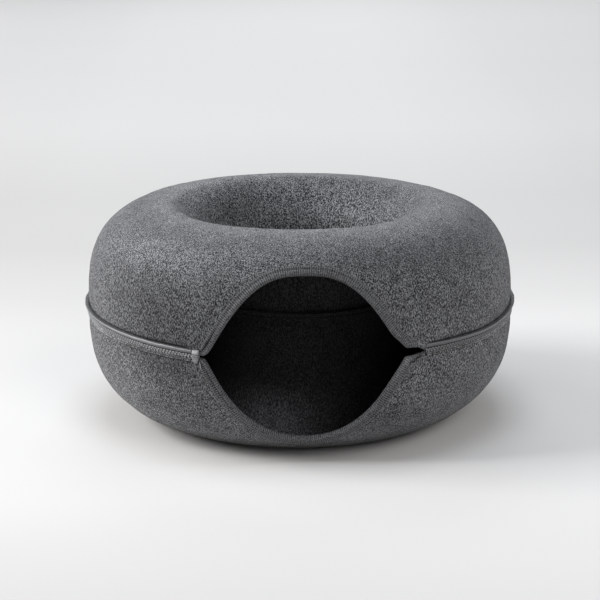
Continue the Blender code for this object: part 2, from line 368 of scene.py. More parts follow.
def shaded(tree, tint):
    """That tint, darker or paler where the painted light and shade in the cloth's attribute say so.
    """
    return scaled(tree, tint, add_node(tree, "Attribute", {}, attribute_name="painted_shade_and_light").outputs["Fac"])


FIBRE_WANDER = (0.0022, 0.0022, 0.0010)
HAIR_SHARE = 0.45            # how strongly fine hairs and broad blotches show beside the tufts
BLOTCH_SHARE = 0.10
MIX_REACH = 0.13


def felt_finish(name, dark, middle, light):
    """Heathered felt: pale and dark fibres needled together, lying mostly up and down."""
    material, tree, shader = new_finish(
        name, 0.95, Sheen_Weight=0.10, Sheen_Roughness=0.5, Specular_IOR_Level=0.10
    )
    place = where_in_metres(tree)
    stray = add_node(tree, "TexNoise", {"Vector": place, "Scale": 330.0, "Detail": 1.0})
    wandering = add_node(
        tree, "VectorMath", {0: stray.outputs["Color"], 1: FIBRE_WANDER, 2: place},
        operation="MULTIPLY_ADD",
    ).outputs[0]

    def fibres(lie, scale, detail):
        lying = add_node(
            tree, "VectorMath", {0: wandering, 1: (1.0, 1.0, lie)}, operation="MULTIPLY"
        ).outputs[0]
        return grain(tree, lying, scale, detail, Roughness=0.6)

    tufts = fibres(0.42, 930.0, 2.0)
    mixed = plus(tree, fibres(0.20, 2300.0, 1.0), HAIR_SHARE, tufts)
    mixed = plus(tree, grain(tree, place, 60.0, 2.0), BLOTCH_SHARE, mixed)
    middle_mix = 0.5 * (1 + HAIR_SHARE + BLOTCH_SHARE)
    ramp = add_node(tree, "ValToRGB", {
        "Fac": mapped(tree, mixed, middle_mix - MIX_REACH, middle_mix + MIX_REACH),
    })
    stops = ramp.color_ramp.elements
    stops[0].position, stops[0].color = 0.08, (*dark, 1)
    stops[1].position, stops[1].color = 0.92, (*light, 1)
    stops.new(0.50).color = (*middle, 1)
    colour_and_bump(tree, shader, shaded(tree, ramp.outputs[0]), mixed, 0.7, 0.0008)
    return material


felt_outside = felt_finish(
    "heathered grey felt", (0.0100, 0.0103, 0.0112), (0.062, 0.0635, 0.067), (0.250, 0.254, 0.263)
)
# Painted shade: the felt in the tunnel is the same felt as outside, painted much darker.
felt_painted_dark_inside = felt_finish(
    "felt in the tunnel, painted dark as shade", (0.004, 0.004, 0.0045), (0.012, 0.0122, 0.013), (0.034, 0.0345, 0.036)
)

# Rows of the felt's mesh: close together beside the cut edge and the zip, then every 5 mm.
ROWS_BY_EDGE = np.array([
    0, .0015, .003, .0045, .0053, .0060, .0067, .0074, .0080, .0085, .0090, .0095, .0101,
    .0109, .0122, .0145, .018, .022,
])
FELT_STATIONS = 161          # columns of the mesh across the way in, and round the back
FELT_COLUMNS_BEHIND = 281
ROWS_TO_CREST = 27
ROWS_TO_WAIST = 33
ROWS_ROUND_FOLD = 6
LUMPS = (                    # (height, how many to the metre, where its noise is read)
    (0.00045, 34.0, (0, 0, 0)),
    (0.00024, 78.0, (3, 1, 7)),
    (0.00014, 170.0, (0, 0, 0)),
)
SMOOTH_BY_EDGE = 0.008       # how far from its cut edge the felt lies smooth under the binding
TAPE_CREASE = 0.0012         # how deep the felt is drawn in beside the zip's tapes
CREASE_REACHES = ((0.6, 0.0010), (0.4, 0.0045))  # (share of the depth, reach)
PUCKER = 0.00022             # ripples that the zip's stitching draws into the felt
PUCKER_PITCH = 0.0093
PUCKER_DEPTH = 0.0145        # how far from the zip's middle they are highest
# Painted shade: a dark line painted in the crease beside the zip's tapes, on each half.
ZIP_PAINTED_SHADE = {+1: 0.90, -1: 0.40}  # how dark the line beside the zip's tape is
ZIP_SHADE_MIDDLE, ZIP_SHADE_REACH = 0.0001, 0.0011
# Painted light and shade on the felt: where it is painted paler (+) or darker (-) than elsewhere,
# as (turn, reach in degrees, along, reach in metres, change).
PAINTED_LIGHT_AND_SHADE = (
    (-36, 17, +0.028, 0.045, -0.40),
    (-50, 14, +0.062, 0.024, -0.18),
    (-50, 15, +0.103, 0.017, +0.32),
    (-38, 13, -0.014, 0.024, -0.28),
    (-30, 11, -0.045, 0.028, -0.18),
    (+25, 24, +0.108, 0.020, -0.25),
    (+36, 20, +0.060, 0.045, -0.15),
    (+22, 12, -0.080, 0.028, -0.18),
    (-70, 14, -0.030, 0.045, +0.13),
    (+62, 14, -0.060, 0.050, +0.12),
    (+66, 12, +0.025, 0.035, +0.12),
    (0, 400, +0.172, 0.016, +0.18),
    (0, 400, -0.108, 0.016, +0.14),
    (+160, 32, +0.228, 0.026, +0.40),
    (-142, 22, +0.226, 0.022, -0.28),
    (-112, 24, +0.196, 0.016, +0.50),
    (-135, 30, +0.189, 0.011, +0.25),
    (-172, 18, +0.213, 0.022, +0.22),
    (+146, 22, +0.196, 0.014, -0.20),
    (+56, 14, +0.100, 0.030, -0.15),
    (-8, 14, +0.131, 0.010, -0.14),
    (+8, 12, +0.114, 0.010, -0.12),
    (-20, 6, +0.070, 0.025, -0.20),
    (-56, 11, -0.040, 0.020, +0.12),
    (-52, 10, -0.085, 0.014, +0.20),
    (+24, 10, -0.078, 0.015, -0.12),
    (+50, 7, -0.055, 0.015, -0.14),
)


def slant(turn, side):
    """How many times longer a step along the skin is than the same step square to the edge."""
    rise = mouth_edge(turn + 0.2, side) - mouth_edge(turn - 0.2, side)
    run = np.radians(0.4) * section_at(mouth_edge(turn, side))[0]
    return np.hypot(run, rise) / run


def along_zip(turn):
    """0 across the way in and 1 along the zip."""
    return ease(np.where(turn < 0, -turn - 29.2, turn - 31.8) / 2.2)


def upper_tape_reach(turn):
    """How far the roll above the coils covers the felt; it dips towards the tab."""
    dip = 0.0006 * np.exp(-((turn + 29.3) / 2.5) ** 2)
    return 0.0080 - 0.0003 * np.sin(np.radians(turn)) - dip


def lower_tape_width(turn):
    """The zip's lower tape shows wider on the left of the bed than on the right."""
    return 0.0063 - 0.0007 * np.sin(np.radians(turn))


def tape_reach(turn, side):
    """How far from the zip's middle the tape of the upper (+1) or lower (-1) half goes."""
    return upper_tape_reach(turn) if side > 0 else lower_tape_width(turn)


def felt_relief(turn, along, side):
    """The felt's own small ups and downs: lumps, the crease beside the zip, and puckers."""
    points = on_skin(turn, along)
    lumps = np.array([
        sum(high * noise.noise(Vector(p) * many + Vector(read)) for high, many, read in LUMPS)
        for p in points.reshape(-1, 3)
    ]).reshape(turn.shape)
    depth = np.abs(along)
    beyond_edge = depth - np.abs(mouth_edge(turn, side))
    lumps *= np.clip((beyond_edge - SMOOTH_BY_EDGE) / 0.010, 0, 1)
    beyond_tape = depth - tape_reach(turn, side)
    crease = sum(part * np.exp(-(beyond_tape / reach) ** 2) for part, reach in CREASE_REACHES)
    crease = np.where(beyond_tape < 0, 1.0, crease) * np.clip(1 + beyond_tape / 0.0030, 0, 1)
    crease *= 1.0 if side > 0 else 0.6
    walked = np.radians(turn) * FELT_RADIUS
    ripple = np.sin(walked * 2 * np.pi / PUCKER_PITCH + 2.5 * np.sin(np.radians(turn) * 31))
    pucker = PUCKER * ripple * np.exp(-((depth - PUCKER_DEPTH) / 0.005) ** 2)
    waist = np.clip((SECTIONS[side][2][2] - depth) / 0.015, 0, 1)
    drawn_in = along_zip(turn) * (pucker - TAPE_CREASE * crease)
    return (lumps + drawn_in) * waist * off_floor(along)


def outer_shade(turn, depth, side, height):
    """How pale the outer face is: painted light and shade in patches, painted shade in the crease
    beside the zip, and a painted shadow at the floor.
    """
    tone = np.ones(depth.shape)
    for middle, reach, along, reach_along, change in PAINTED_LIGHT_AND_SHADE:
        gap = wrap(turn - middle) / reach
        tone += change * np.exp(-gap * gap - ((side * depth - along) / reach_along) ** 2)
    # Painted shade: a dark line in the crease just beyond the zip's tape.
    off_line = (depth - tape_reach(turn, side) - ZIP_SHADE_MIDDLE) / ZIP_SHADE_REACH
    painted_crease_shade = along_zip(turn) * ZIP_PAINTED_SHADE[side] * np.exp(-off_line ** 2)
    # Painted shadow: the felt is painted darker close to the floor.
    painted_floor_shadow = 0.45 + 0.55 * ease((height - 0.002) / 0.026)
    return tone * (1 - painted_crease_shade) * painted_floor_shadow


def tunnel_painted_light(places):
    """How pale the tunnel's face is: a painted pool of light on its floor, to the left of the way
    in.

    It is also painted a little paler over the way in and to its right, as painted light.
    """
    x, y, z = np.moveaxis(places, -1, 0)
    painted_light_pool = np.exp(-((x + 0.055) / 0.060) ** 2 - (z / 0.048) ** 4 - ((y + 0.19) / 0.09) ** 2)
    return 1 + 8.5 * painted_light_pool + 0.40 * ease((z - 0.13) / 0.04) + 0.45 * ease((x - 0.02) / 0.06)


def felt_half(name, side):
    crest, base, fold, fold_end = SECTIONS[side][2]
    cut_edge = SECTIONS[side][0][-1]
    across = edge_stations(side, FELT_STATIONS)[0]
    round_back = np.linspace(GAPE_TURNS[1], 360 + CORNER_TURNS[0], FELT_COLUMNS_BEHIND)
    turns = np.concatenate([across, round_back, [360 + across[0]]])
    edge = np.abs(mouth_edge(wrap(turns), side))
    close = edge[:, None] + slant(wrap(turns), side)[:, None] * ROWS_BY_EDGE
    steps = np.linspace(0, 1, ROWS_TO_CREST + 1)[1:]
    to_crest = close[:, -1:] + (crest - close[:, -1:]) * steps
    rest = np.concatenate([
        np.linspace(crest, base, 5)[1:] if base - crest > FELT_THICKNESS else [],
        np.linspace(base, fold, ROWS_TO_WAIST + 1)[1:],
        np.linspace(fold, fold_end, ROWS_ROUND_FOLD + 1)[1:],
        [(fold_end + cut_edge) / 2, cut_edge],
    ])
    depth = np.concatenate([close, to_crest, np.tile(rest, (len(turns), 1))], axis=1)
    turn = np.broadcast_to(turns[:, None], depth.shape)
    relief = felt_relief(wrap(turn), side * depth, side)
    outer = on_skin(wrap(turn), side * depth, relief)
    inner = on_skin(wrap(turn), side * depth, relief - FELT_THICKNESS)
    places = np.concatenate([outer, inner[:, ::-1], outer[:, :1]], axis=1)
    metres = np.stack([np.radians(turn) * FELT_RADIUS, side * depth], axis=-1)
    spread = np.concatenate([
        np.dstack([metres, outer_shade(wrap(turn), depth, side, outer[..., 2])]),
        np.dstack([metres, tunnel_painted_light(inner)])[:, ::-1],
        np.dstack([metres, np.ones(depth.shape)])[:, :1],
    ], axis=1)
    rows = depth.shape[1]
    # The seam's fold and the tunnel's face take the felt painted dark as shade.
    tunnel_rows = (rows - ROWS_ROUND_FOLD, 2 * rows - 1)
    piece = lay_grid(name, places, spread, inner_rows=tunnel_rows)
    piece.data.materials.append(felt_outside)
    piece.data.materials.append(felt_painted_dark_inside)
    return piece


for side, node in ((+1, "felt_upper_half"), (-1, "felt_lower_half")):
    half = felt_half(node.replace("_half", "_shell"), side)
    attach(half, "root")
    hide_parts(node)


# ---- The tape that binds the way in ----
# A ribbed polyester tape, folded over the cut edge of each half and sewn through with two rows
# of stitches. Its rim is a soft roll, and its ends are tucked into the corners.
BINDING_STATIONS = 1021
RIB_PITCH = 0.0025
RIB_HEIGHT = 0.00018
FLAT_TAPE = 0.00142          # how far out the tape lies where it is flat
# The tape's outline, as (back from the felt's edge, out from its outer face) in millimetres,
# and how much of the ribs shows there.
BINDING_OUTLINE = np.array([
    (4.6, 0.40, 0), (8.9, 0.40, 0), (9.20, 0.62, 0), (9.20, 1.00, 0), (9.0, 1.26, .4),
    (8.6, 1.40, .8), (8.0, 1.44, 1), (7.3, 1.42, 1), (6.4, 1.46, 1), (5.6, 1.42, 1),
    (5.0, 1.34, .9), (4.6, 1.26, .8), (4.2, 1.30, .8), (3.8, 1.42, .9), (3.3, 1.66, 1),
    (2.6, 2.05, 1), (1.8, 2.36, 1), (0.9, 2.50, 1), (0.1, 2.40, 1), (-0.6, 2.00, 1),
    (-1.1, 1.30, .9), (-1.4, 0.20, .6), (-1.45, -1.2, .3), (-1.4, -3.2, 0), (-1.0, -4.6, 0),
    (-0.2, -5.3, 0), (1.0, -5.4, 0), (3.0, -5.4, 0), (5.0, -5.4, 0), (7.4, -5.4, 0),
    (9.2, -5.4, 0), (9.2, -4.4, 0), (6.0, -4.4, 0), (3.0, -4.4, 0), (-0.4, -4.4, 0),
    (-0.4, -2.0, 0), (-0.4, 0.40, 0), (2.2, 0.40, 0), (4.6, 0.40, 0),
])
# Painted shade on the tape, and where it is painted paler: (half, share of its length, reach,
# millimetres back, reach, how much darker; below 0, how much paler).
BINDING_PAINTED_SHADES = (
    (+1, 0.05, 0.07, 4.2, 1.9, 0.95),
    (+1, 0.22, 0.11, 6.8, 1.0, 0.40),
    (+1, 0.22, 0.10, 2.8, 2.2, 0.20),
    (+1, 0.42, 0.06, 5.0, 1.0, 0.20),
    (+1, 0.54, 0.16, 5.0, 5.5, 0.38),
    (+1, 0.93, 0.05, 7.4, 1.6, 0.28),
    (-1, 0.05, 0.08, 2.8, 1.6, 0.95),
    (-1, 0.15, 0.06, 2.4, 1.0, 0.75),
    (-1, 0.07, 0.07, 7.4, 2.4, 0.35),
    (-1, 0.77, 0.10, 5.0, 5.0, 0.22),
    (-1, 0.92, 0.05, -0.5, 2.0, -0.35),
    (-1, 0.943, 0.014, 2.0, 2.6, -0.60),
    (-1, 0.945, 0.010, 5.8, 1.0, 0.85),
    (-1, 0.958, 0.009, 5.6, 1.0, 0.90),
    (-1, 0.968, 0.008, 4.4, 1.1, 0.90),
    (-1, 0.976, 0.008, 2.7, 1.2, 0.90),
    (-1, 0.984, 0.008, 1.4, 1.2, 0.85),
    (-1, 0.993, 0.008, 0.3, 1.0, 0.70),
)
SQUARING = 0.006             # how soon the tape turns round a bend, in metres along the edge


def beside_edge(stations, step, back, side):
    """(turn, along) at those distances back from the cut edge, measured square to it."""
    edge = mouth_edge(stations, side)
    radius = section_at(edge)[0]
    across = np.radians(stations) * radius
    heading = np.arctan2(np.gradient(edge), np.gradient(stations) * np.pi / 180 * radius)
    reach = int(3 * SQUARING / step)
    weights = np.exp(-0.5 * (np.arange(-reach, reach + 1) * step / SQUARING) ** 2)
    heading = np.convolve(np.pad(heading, reach, mode="edge"), weights / weights.sum(), "valid")
    turn = np.degrees((across[:, None] - side * np.sin(heading)[:, None] * back) / radius[:, None])
    along = edge[:, None] + side * np.cos(heading)[:, None] * back
    return turn, along


def binding(name, side):
    stations, step = edge_stations(side, BINDING_STATIONS)
    back, out, ribbed = BINDING_OUTLINE.T * [[0.001], [0.001], [1]]
    walked = np.arange(len(stations)) * step
    share = (walked / walked[-1])[:, None]
    # At the left corner the rim draws back and the two tapes part.
    drawn_back = 0.0012 * np.exp(-(walked / 0.006) ** 2)[:, None] * (back < 0.004)
    turn, along = beside_edge(stations, step, back + drawn_back, side)
    # The rim is fullest on the upper tape, a quarter of the way along.
    fullness = 0.55 + (0.45 * np.exp(-((share - 0.22) / 0.13) ** 2) if side > 0 else 0)
    out = np.where(out > FLAT_TAPE, FLAT_TAPE + (out - FLAT_TAPE) * fullness, out)
    out = out + RIB_HEIGHT * np.cos(walked * 2 * np.pi / RIB_PITCH)[:, None] * ribbed
    shade = np.ones(turn.shape)
    for half, middle, reach, middle_back, reach_back, darker in BINDING_PAINTED_SHADES:
        if half == side:
            shade *= 1 - darker * np.exp(
                -((share - middle) / reach) ** 2 - ((back * 1000 - middle_back) / reach_back) ** 2
            )
    round_tape = np.concatenate([[0.0], np.cumsum(np.hypot(*np.diff(BINDING_OUTLINE[:, :2].T)))])
    spread = np.stack(np.broadcast_arrays(walked[:, None], round_tape / 1000, shade), axis=-1)
    return lay_grid(name, on_skin(turn, along, out), spread), walked[-1]


BANDS_AT_SCALE_1 = 3.183     # how many bands to the metre a wave texture of scale 1 has


def bands(tree, cloth, pitch, direction, distortion, wander):
    """Ribs or threads across the cloth's X or Y direction."""
    return add_node(
        tree, "TexWave", {"Vector": cloth, "Scale": 1 / pitch / BANDS_AT_SCALE_1, "Detail": 1.0,
                          "Distortion": distortion, "Detail Scale": wander},
        wave_type="BANDS", bands_direction=direction, wave_profile="SIN",
    ).outputs["Fac"]


def laid_out(tree):
    """The place on the cloth laid flat, which ribs are laid by."""
    return add_node(tree, "UVMap", {}, uv_map="cloth").outputs[0]


def woven_finish(name, colour, shade, roughness, ribs_apart=RIB_PITCH, gloss=0.25):
    """Woven tape: ribs across it, a fine warp along it, and threads that vary in shade."""
    material, tree, shader = new_finish(
        name, roughness, Sheen_Weight=0.10, Sheen_Roughness=0.5, Specular_IOR_Level=gloss
    )
    weave = plus(tree, bands(tree, laid_out(tree), ribs_apart, "X", 0.8, 1.5), 0.5, 0.0)
    weave = plus(tree, bands(tree, laid_out(tree), 0.00055, "Y", 0.8, 0.5), 0.25, weave)
    threads = grain(tree, where_in_metres(tree), 700.0, 3.0, Roughness=0.65)
    mixed = plus(tree, threads, 1.1, weave)
    tint = blend(tree, mapped(tree, mixed, 0.45, 1.45), shade, colour)
    colour_and_bump(tree, shader, shaded(tree, tint), mixed, 0.5, 0.0003)
    return material


def binding_finish(name, dark, pale):
    """Heathered tape the tone of the felt, with dark gaps between the pale ribs across it."""
    material, tree, shader = new_finish(name, 0.9, Specular_IOR_Level=0.08)
    ribs = bands(tree, laid_out(tree), RIB_PITCH, "X", 1.2, 1.5)
    fibres = grain(tree, where_in_metres(tree), 620.0, 2.0, Roughness=0.6)
    mixed = plus(tree, ribs, 0.28, fibres)
    tint = blend(tree, mapped(tree, mixed, 0.42, 0.86), dark, pale)
    colour_and_bump(tree, shader, shaded(tree, tint), mixed, 0.6, 0.0005)
    return material


binding_cloth = binding_finish(
    "ribbed binding tape", (0.021, 0.0213, 0.0222), (0.164, 0.1665, 0.171)
)
for side, node in ((+1, "binding_upper"), (-1, "binding_lower")):
    tape, length = binding("ribbed_" + node, side)
    tape.data.materials.append(binding_cloth)
    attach(tape, "root")
    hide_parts(node)


# ---- The zip's two tapes ----
# The zip is sewn on round the outside of the bed: the upper tape is turned under into a roll
# above the coils, and the lower tape lies flat below them with its edge turned in.
ZIP_LEFT_TURN = -29.0
ZIP_RIGHT_TURN = 31.9
ZIP_STEPS = 1400
DRAWN_REACH = 8.3
COILS_REACH_DOWN = 0.0018    # how far below the zip's middle the lower tape starts


def zip_strip(name, outline_at):
    """A strip that follows the zip's line; outline_at gives rows of (along, out, how pale)."""
    turns = np.linspace(ZIP_RIGHT_TURN, 360 + ZIP_LEFT_TURN, ZIP_STEPS + 1)
    along, out, pale = outline_at(wrap(turns[:, None]))
    along, out, pale, turn = np.broadcast_arrays(along, out, pale, turns[:, None])
    places = on_skin(wrap(turn), along, out)
    walked = np.radians(turn - ZIP_RIGHT_TURN) * FELT_RADIUS
    width = np.concatenate([[0.0], np.cumsum(np.hypot(np.diff(along[0]), np.diff(out[0])))])
    spread = np.stack([walked, np.broadcast_to(width, walked.shape), pale], axis=-1)
    return lay_grid(name, places, spread)


def turns_by(pitch, inset=0.0):
    """Turns at even steps from one end of the zip to the other."""
    start, end = ZIP_RIGHT_TURN + inset, 360 + ZIP_LEFT_TURN - inset
    return wrap(np.arange(start, end, math.degrees(pitch / FELT_RADIUS)))


def upper_tape_outline(turn):
    """A rolled edge that slopes down towards the coils, softly uneven from place to place.

    Its rows are in millimetres, for a roll that reaches DRAWN_REACH along the skin.
    """
    # The third column is how pale each row is: painted shade on the roll's underside, paler on its
    # top.
    along, out, pale = np.array([
        (3.5, 0.4, .3), (3.45, 1.1, .35), (3.55, 1.7, .5), (4.0, 2.3, .65), (4.6, 3.0, .8),
        (5.3, 3.7, .9), (6.0, 4.2, 1), (6.7, 4.5, 1.1), (7.3, 4.5, 1.1), (7.8, 4.2, 1),
        (8.1, 3.6, .35), (8.2, 2.6, .12), (8.15, 1.4, .1), (7.9, 0.4, .1), (6.0, 0.4, .2),
        (3.5, 0.4, .3),
    ]).T
    along = along * upper_tape_reach(turn) / DRAWN_REACH
    # It rises slowly out of the right corner; a highlight is painted on it to the left of the bed,
    # and shade to the right.
    rising = 0.25 + 0.75 * ease((turn - ZIP_RIGHT_TURN) / 8)
    out = out / 1000 * np.where((turn > 0) & (turn < 90), rising, 1)
    painted_highlight = 0.30 * np.exp(-((turn + 45) / 13) ** 2)
    painted_shade_on_right = 0.27 * np.exp(-((turn - 50) / 24) ** 2)
    pale = pale * (1 + painted_highlight - painted_shade_on_right)
    lift = np.clip(out / 0.0044, 0, 1)
    wander = 0.00018 * np.sin(np.radians(turn) * 47) + 0.00012 * np.sin(np.radians(turn) * 113)
    return along + wander * lift, out + 0.6 * wander * lift, pale


def lower_tape_outline(turn):
    """A flat tape: a stitched groove along the coils, a plain band, a turned lower edge.

    On the left of the bed it leans in towards the felt, and is painted darker there as shade;
    towards the sides and back it is painted paler, as painted light.
    """
    width = lower_tape_width(turn)
    # The third column is how pale each row is, with painted shade in the stitched groove.
    share, out, pale = np.array([
        (0.0, 0.4, .3), (0.0, 1.3, 1), (0.06, 1.7, 1.4), (0.14, 1.9, 1.5), (0.22, 1.7, .9),
        (0.30, 1.3, .25), (0.40, 1.1, .2), (0.50, 1.3, .55), (0.62, 1.6, 1), (0.74, 1.8, 1.1),
        (0.86, 1.7, 1), (0.94, 1.4, .7), (0.99, 1.1, .35), (1.0, 0.8, .25), (0.99, 0.4, .2),
        (0.5, 0.4, .2), (0.0, 0.4, .3),
    ]).T
    wander = 0.00010 * np.sin(np.radians(turn) * 61)
    lean = 0.5 - 0.5 * np.clip(turn / 35, -1, 1) * (np.abs(turn) < 90)
    height = np.where(out > 0.5, out - lean * 0.9 * share, out) / 1000
    painted_shine = 1 - 0.15 * lean + 0.75 * ease((np.abs(turn) - 44) / 20)
    along = -COILS_REACH_DOWN - (width - COILS_REACH_DOWN) * share + wander * share
    return along, height, pale * painted_shine


tape_cloth = woven_finish(
    "zip tape", (0.150, 0.152, 0.156), (0.045, 0.046, 0.048), 0.46, gloss=0.75
)
dull_tape_cloth = felt_finish(
    "brushed zip tape", (0.020, 0.0203, 0.021), (0.085, 0.086, 0.088), (0.260, 0.262, 0.266)
)
for name, node, outline, width, cloth in (
    ("zip_roll_above", "zip_tape_upper", upper_tape_outline, 0.0100, tape_cloth),
    ("zip_tape_below", "zip_tape_lower", lower_tape_outline, 0.0060, dull_tape_cloth),
):
    tape = zip_strip(name, outline)
    tape.data.materials.append(cloth)
    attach(tape, "root")
    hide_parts(node)


# ---- The zip's coils ----
# Two rows of nylon coil that mesh round the whole seam. Each loop is an arch of thick thread
# laid across the seam, sewn down along a woven ground.
LOOP_PITCH = 0.0021
LOOP_ALONG, LOOP_OUT = 0.00070, 0.0011
LOOP_SLANT = 0.16            # radians
LOOP_LENGTH = 0.0048
LOOP_THREAD = 0.00050        # its radius, and how much more it has where the loop turns back
LOOP_BULGE = {+1: 0.00055, -1: 0.00030}


def coil_ground_outline(turn):
    along, out = 0.001 * np.array([
        (-1.7, 0.4), (-1.7, 0.8), (-1.3, 1.0), (-0.6, 1.1), (0.6, 1.1), (2.4, 1.1),
        (3.2, 1.0), (3.5, 0.8), (3.5, 0.4), (0.6, 0.4), (-1.7, 0.4),
    ]).T
    return along + 0 * turn, out + 0 * turn, 1.0


def repeat_shape(name, shape, seats):
    """One piece from many copies of a small shape, each carried to its own seat (3 x 4)."""
    points = np.array([(*v.co, 1.0) for v in shape.data.vertices])
    faces = [list(p.vertices) for p in shape.data.polygons]
    placed = np.einsum("sij,vj->svi", seats, points)
    indices = [[v + i * len(points) for v in face] for i in range(len(seats)) for face in faces]
    mesh = bpy.data.meshes.new(name)
    mesh.from_pydata(placed.reshape(-1, 3).tolist(), [], indices)
    mesh.shade_smooth()
    bpy.data.objects.remove(shape)
    piece = bpy.data.objects.new(name, mesh)
    bpy.context.scene.collection.objects.link(piece)
    return piece


def seats_on_skin(turn, along, out, heading):
    """Seats on the skin: x runs along the heading (radians up from round), z stands out."""
    step = 0.0005
    here = on_skin(turn, along, out)
    sideways = on_skin(turn + np.degrees(step / FELT_RADIUS), along, out) - here
    upwards = on_skin(turn, along + step, out) - here
    sideways /= np.linalg.norm(sideways, axis=-1, keepdims=True)
    upwards /= np.linalg.norm(upwards, axis=-1, keepdims=True)
    heading = np.broadcast_to(heading, np.shape(turn))[..., None]
    x = np.cos(heading) * sideways + np.sin(heading) * upwards
    z = np.cross(sideways, upwards)
    z /= np.linalg.norm(z, axis=-1, keepdims=True)
    return np.stack([x, np.cross(z, x), z, here], axis=-1)


def coil_loop(row):
    """One loop: a thick thread over the seam, thickest where its own row turns back."""
    bpy.ops.mesh.primitive_cylinder_add(vertices=6, radius=1, depth=1, end_fill_type="NGON")
    loop = bpy.context.object
    bpy.ops.object.mode_set(mode="EDIT")
    bpy.ops.mesh.select_mode(type="EDGE")
    bpy.ops.mesh.select_all(action="DESELECT")
    bpy.ops.object.mode_set(mode="OBJECT")
    for edge in loop.data.edges:
        low, high = (loop.data.vertices[i].co.z for i in edge.vertices)
        edge.select = abs(high - low) > 0.5
    bpy.ops.object.mode_set(mode="EDIT")
    bpy.ops.mesh.subdivide(number_cuts=8)
    bpy.ops.object.mode_set(mode="OBJECT")
    for vertex in loop.data.vertices:
        round_x, round_y, share = vertex.co.x, vertex.co.y, vertex.co.z * 2
        hump = math.exp(-((share - 0.58 * row) / 0.30) ** 2)
        thick = LOOP_THREAD + LOOP_BULGE[row] * hump
        tucked_in = 0.0012 * max(0.0, abs(share) - 0.66) / 0.34
        height = 0.0002 + 0.0008 * hump - tucked_in
        vertex.co = (round_x * thick, share * LOOP_LENGTH / 2, height + round_y * thick * 0.8)
    return loop


seats = seats_on_skin(turns_by(LOOP_PITCH), LOOP_ALONG, LOOP_OUT, LOOP_SLANT)
coil_plastic, tree, shader = new_finish("grey nylon coil", 0.40, Specular_IOR_Level=0.70)
place = where_in_metres(tree)
scuff = grain(tree, place, 420.0, 3.0)
tint = blend(tree, scuff, (0.230, 0.233, 0.238), (0.430, 0.435, 0.442))
# The coils are painted darker to the right of the way in, as painted shade.
to_the_right = add_node(tree, "SeparateXYZ", {0: place}).outputs["X"]
painted_shade = mapped(tree, to_the_right, 0.02, 0.14, 1.0, 0.62)
colour_and_bump(tree, shader, scaled(tree, tint, painted_shade), scuff, 0.3, 0.0001)
# The woven ground under the coils is painted near black, as painted shade in the gaps between the
# loops.
ground = zip_strip("zip_coil_ground", coil_ground_outline)
ground.data.materials.append(woven_finish(
    "zip ground painted black as shade", (0.012, 0.012, 0.0123), (0.004, 0.004, 0.0042), 0.9
))
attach(ground, "root")
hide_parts("zip_coil")
for name, row, row_seats in (
    ("zip_coil_loops_above", +1, seats[::2]),
    ("zip_coil_loops_below", -1, seats[1::2]),
):
    coils = repeat_shape(name, coil_loop(row), row_seats)
    coils.data.materials.append(coil_plastic)
    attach(coils, "root")


# ---- The stitching ----
# Grey polyester thread: two rows through each binding, and one along the tape below the
# coils. Each stitch is a short arch of thread whose ends go under.
def stitch(length, thickness):
    bpy.ops.mesh.primitive_uv_sphere_add(segments=6, ring_count=7, radius=1)
    piece = bpy.context.object
    for vertex in piece.data.vertices:
        x, y, z = vertex.co.z, vertex.co.y, vertex.co.x
        reach = math.copysign(abs(x) ** 0.8, x)
        girth = 1.0 if abs(x) < 0.9 else 0.8
        vertex.co = (
            reach * length / 2,
            y * thickness / 2 * girth,
            z * thickness / 2 * girth - 0.55 * thickness * reach ** 4,
        )
    return piece


thread, tree, shader = new_finish(
    "grey sewing thread", 0.6, Sheen_Weight=0.25, Specular_IOR_Level=0.3
)
twist = grain(tree, where_in_metres(tree), 1500.0, 2.0)
colour_and_bump(tree, shader, blend(tree, twist, (0.10, 0.10, 0.103), (0.33, 0.332, 0.336)))

STITCH_PITCH = 0.0028
STITCH_ROWS = ((0.0033, 0.00150), (0.0075, 0.00148))  # (back from the edge, out)
GROOVE_SHARE, GROOVE_OUT = 0.36, 0.00105  # where the lower tape's groove lies across it
for side, name in ((+1, "binding_stitches_upper"), (-1, "binding_stitches_lower")):
    stations, step = edge_stations(side, BINDING_STATIONS)
    every = round(STITCH_PITCH / step)
    rows = []
    for back, out in STITCH_ROWS:
        turn, along = beside_edge(stations, step, np.array([back]), side)
        turn, along = turn[every:-every, 0], along[every:-every, 0]
        radius = section_at(along)[0]
        heading = np.arctan2(np.gradient(along), np.gradient(turn) * np.pi / 180 * radius)
        pick = slice(0, None, every)
        rows.append(seats_on_skin(turn[pick], along[pick], out, heading[pick]))
    stitches = repeat_shape(name, stitch(0.0023, 0.00048), np.concatenate(rows))
    stitches.data.materials.append(thread)
    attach(stitches, "root")

turns = turns_by(STITCH_PITCH, inset=0.4)
in_groove = -COILS_REACH_DOWN - (lower_tape_width(turns) - COILS_REACH_DOWN) * GROOVE_SHARE
seats = seats_on_skin(turns, in_groove, GROOVE_OUT, 0.0)
stitches = repeat_shape("zip_stitches", stitch(0.0022, 0.00045), seats)
stitches.data.materials.append(thread)
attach(stitches, "root")

